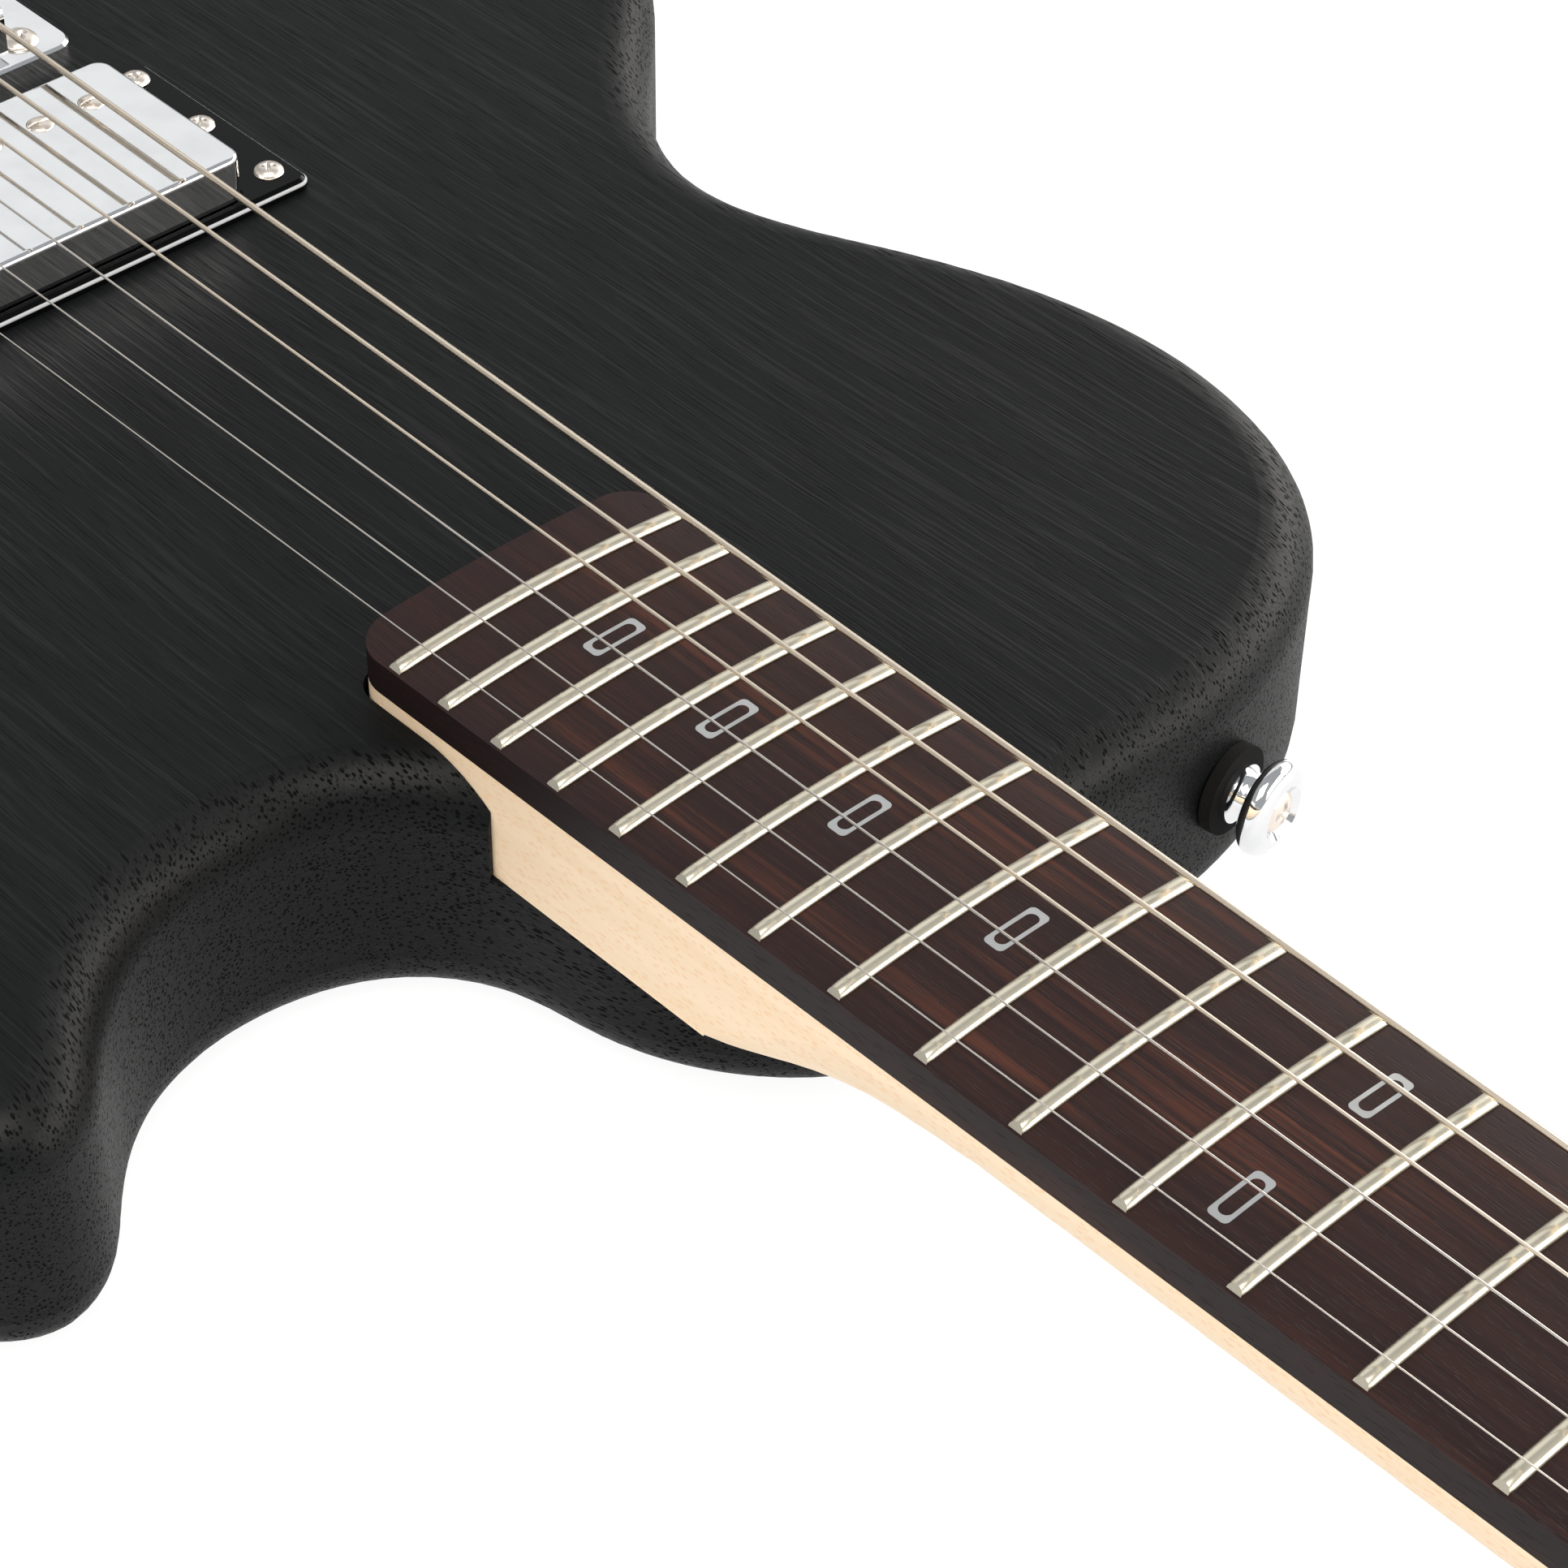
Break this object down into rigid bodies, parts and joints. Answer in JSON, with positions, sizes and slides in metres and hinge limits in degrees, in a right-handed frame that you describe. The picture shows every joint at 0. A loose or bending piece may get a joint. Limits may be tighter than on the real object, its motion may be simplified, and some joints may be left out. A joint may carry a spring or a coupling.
{
  "type": "electric guitar",
  "caption": "Solid electric guitar with a single cutaway, bolted maple neck, rosewood board, one covered humbucker and a hardtail bridge.",
  "frame": {"origin": "on the flat back of the body, on the centre line, under the saddle line", "axes": "+X along the neck to the headstock, +Y to the bass side, +Z out of the body's top"},
  "size_m": [0.9821, 0.326, 0.0596],
  "materials": {
    "black_wood": "satin",
    "maple": "satin",
    "rosewood": "open",
    "chrome": "polished",
    "nickel": "satin",
    "fret_wire": "polished",
    "black_plastic": "gloss",
    "lid_plastic": "matte",
    "felt": "fuzzy",
    "bone": "satin",
    "inlay": "satin",
    "dot_plastic": "gloss",
    "string_steel": "polished",
    "string_wound": "wound",
    "steel": "satin",
    "spring_steel": "satin",
    "bobbin": "matte",
    "magnet": "matte",
    "base_metal": "satin",
    "pot_metal": "satin"
  },
  "bodies": {
    "guitar": {"body": "black_wood", "control_cover": "lid_plastic", "control_cover_screws": "steel", "neck_ferrules": "chrome", "neck_screws": "steel", "string_ferrules": "chrome", "strap_felts": "felt", "strap_buttons": "chrome", "strap_screws": "nickel", "neck": "maple", "truss_rod": "steel", "fingerboard": "rosewood", "frets": "fret_wire", "fret_inlays": "inlay", "side_dots": "dot_plastic", "nut": "bone", "strings_wound": "string_wound", "strings_plain": "string_steel", "string_bar": "chrome", "string_bar_screws": "nickel", "tuner_housings": "chrome", "tuner_bushings": "chrome", "tuner_screws": "nickel", "bridge_plate": "chrome", "bridge_screws": "nickel", "intonation_screws": "steel", "intonation_springs": "spring_steel", "pickup_ring": "black_plastic", "ring_screws": "nickel", "height_screws": "nickel", "height_springs": "spring_steel", "pots": "pot_metal", "jack_cup": "chrome", "output_jack": "steel"},
    "tuner_button_6": {"tuner_button_6": "chrome"},
    "tuner_post_6": {"tuner_post_6": "chrome"},
    "tuner_button_5": {"tuner_button_5": "chrome"},
    "tuner_post_5": {"tuner_post_5": "chrome"},
    "tuner_button_4": {"tuner_button_4": "chrome"},
    "tuner_post_4": {"tuner_post_4": "chrome"},
    "tuner_button_3": {"tuner_button_3": "chrome"},
    "tuner_post_3": {"tuner_post_3": "chrome"},
    "tuner_button_2": {"tuner_button_2": "chrome"},
    "tuner_post_2": {"tuner_post_2": "chrome"},
    "tuner_button_1": {"tuner_button_1": "chrome"},
    "tuner_post_1": {"tuner_post_1": "chrome"},
    "saddle_6": {"saddle_6": "chrome"},
    "saddle_5": {"saddle_5": "chrome"},
    "saddle_4": {"saddle_4": "chrome"},
    "saddle_3": {"saddle_3": "chrome"},
    "saddle_2": {"saddle_2": "chrome"},
    "saddle_1": {"saddle_1": "chrome"},
    "volume_knob": {"volume_knob": "chrome"},
    "tone_knob": {"tone_knob": "chrome"},
    "pickup": {"pickup_cover": "chrome", "pickup_base": "base_metal", "pickup_coils": "bobbin", "pickup_magnet": "magnet", "pole_screws": "nickel"},
    "truss_rod_nut": {"truss_rod_nut": "steel"}
  },
  "joints": [
    {"name": "tuner_button_6_turn", "type": "hinge", "parent": "guitar", "child": "tuner_button_6", "pos_m": [0.6962, 0.0265, 0.021], "axis": [0, 1, 0], "continuous": true},
    {"name": "tuner_post_6_turn", "type": "hinge", "parent": "guitar", "child": "tuner_post_6", "pos_m": [0.69, 0.0265, 0.0413], "axis": [0, 0, 1], "continuous": true},
    {"name": "tuner_button_5_turn", "type": "hinge", "parent": "guitar", "child": "tuner_button_5", "pos_m": [0.7362, 0.0265, 0.021], "axis": [0, 1, 0], "continuous": true},
    {"name": "tuner_post_5_turn", "type": "hinge", "parent": "guitar", "child": "tuner_post_5", "pos_m": [0.73, 0.0265, 0.0413], "axis": [0, 0, 1], "continuous": true},
    {"name": "tuner_button_4_turn", "type": "hinge", "parent": "guitar", "child": "tuner_button_4", "pos_m": [0.7762, 0.0265, 0.021], "axis": [0, 1, 0], "continuous": true},
    {"name": "tuner_post_4_turn", "type": "hinge", "parent": "guitar", "child": "tuner_post_4", "pos_m": [0.77, 0.0265, 0.0413], "axis": [0, 0, 1], "continuous": true},
    {"name": "tuner_button_3_turn", "type": "hinge", "parent": "guitar", "child": "tuner_button_3", "pos_m": [0.7762, -0.0265, 0.021], "axis": [0, -1, 0], "continuous": true},
    {"name": "tuner_post_3_turn", "type": "hinge", "parent": "guitar", "child": "tuner_post_3", "pos_m": [0.77, -0.0265, 0.0413], "axis": [0, 0, 1], "continuous": true},
    {"name": "tuner_button_2_turn", "type": "hinge", "parent": "guitar", "child": "tuner_button_2", "pos_m": [0.7362, -0.0265, 0.021], "axis": [0, -1, 0], "continuous": true},
    {"name": "tuner_post_2_turn", "type": "hinge", "parent": "guitar", "child": "tuner_post_2", "pos_m": [0.73, -0.0265, 0.0413], "axis": [0, 0, 1], "continuous": true},
    {"name": "tuner_button_1_turn", "type": "hinge", "parent": "guitar", "child": "tuner_button_1", "pos_m": [0.6962, -0.0265, 0.021], "axis": [0, -1, 0], "continuous": true},
    {"name": "tuner_post_1_turn", "type": "hinge", "parent": "guitar", "child": "tuner_post_1", "pos_m": [0.69, -0.0265, 0.0413], "axis": [0, 0, 1], "continuous": true},
    {"name": "saddle_6_slide", "type": "slide", "parent": "guitar", "child": "saddle_6", "axis": [1, 0, 0], "range_m": [0, 0.0035]},
    {"name": "saddle_5_slide", "type": "slide", "parent": "guitar", "child": "saddle_5", "axis": [1, 0, 0], "range_m": [0, 0.0035]},
    {"name": "saddle_4_slide", "type": "slide", "parent": "guitar", "child": "saddle_4", "axis": [1, 0, 0], "range_m": [0, 0.0035]},
    {"name": "saddle_3_slide", "type": "slide", "parent": "guitar", "child": "saddle_3", "axis": [1, 0, 0], "range_m": [0, 0.0035]},
    {"name": "saddle_2_slide", "type": "slide", "parent": "guitar", "child": "saddle_2", "axis": [1, 0, 0], "range_m": [0, 0.0035]},
    {"name": "saddle_1_slide", "type": "slide", "parent": "guitar", "child": "saddle_1", "axis": [1, 0, 0], "range_m": [0, 0.0035]},
    {"name": "volume_knob_turn", "type": "hinge", "parent": "guitar", "child": "volume_knob", "pos_m": [0.004, -0.092, 0.044], "axis": [0, 0, 1], "range_deg": [-150, 150]},
    {"name": "tone_knob_turn", "type": "hinge", "parent": "guitar", "child": "tone_knob", "pos_m": [-0.044, -0.101, 0.044], "axis": [0, 0, 1], "range_deg": [-150, 150]},
    {"name": "pickup_height", "type": "slide", "parent": "guitar", "child": "pickup", "axis": [0, 0, 1], "range_m": [-0.003, 0.001], "deforming": ["height_springs"]},
    {"name": "truss_rod_nut_turn", "type": "hinge", "parent": "guitar", "child": "truss_rod_nut", "pos_m": [0.6527, 0, 0.0404], "axis": [1, 0, 0], "range_deg": [-360, 360]}
  ],
  "couplings": [
    {"joint": "tuner_post_6_turn", "follows": "tuner_button_6_turn", "ratio": 0.066667},
    {"joint": "tuner_post_5_turn", "follows": "tuner_button_5_turn", "ratio": 0.066667},
    {"joint": "tuner_post_4_turn", "follows": "tuner_button_4_turn", "ratio": 0.066667},
    {"joint": "tuner_post_3_turn", "follows": "tuner_button_3_turn", "ratio": -0.066667},
    {"joint": "tuner_post_2_turn", "follows": "tuner_button_2_turn", "ratio": -0.066667},
    {"joint": "tuner_post_1_turn", "follows": "tuner_button_1_turn", "ratio": -0.066667}
  ]
}
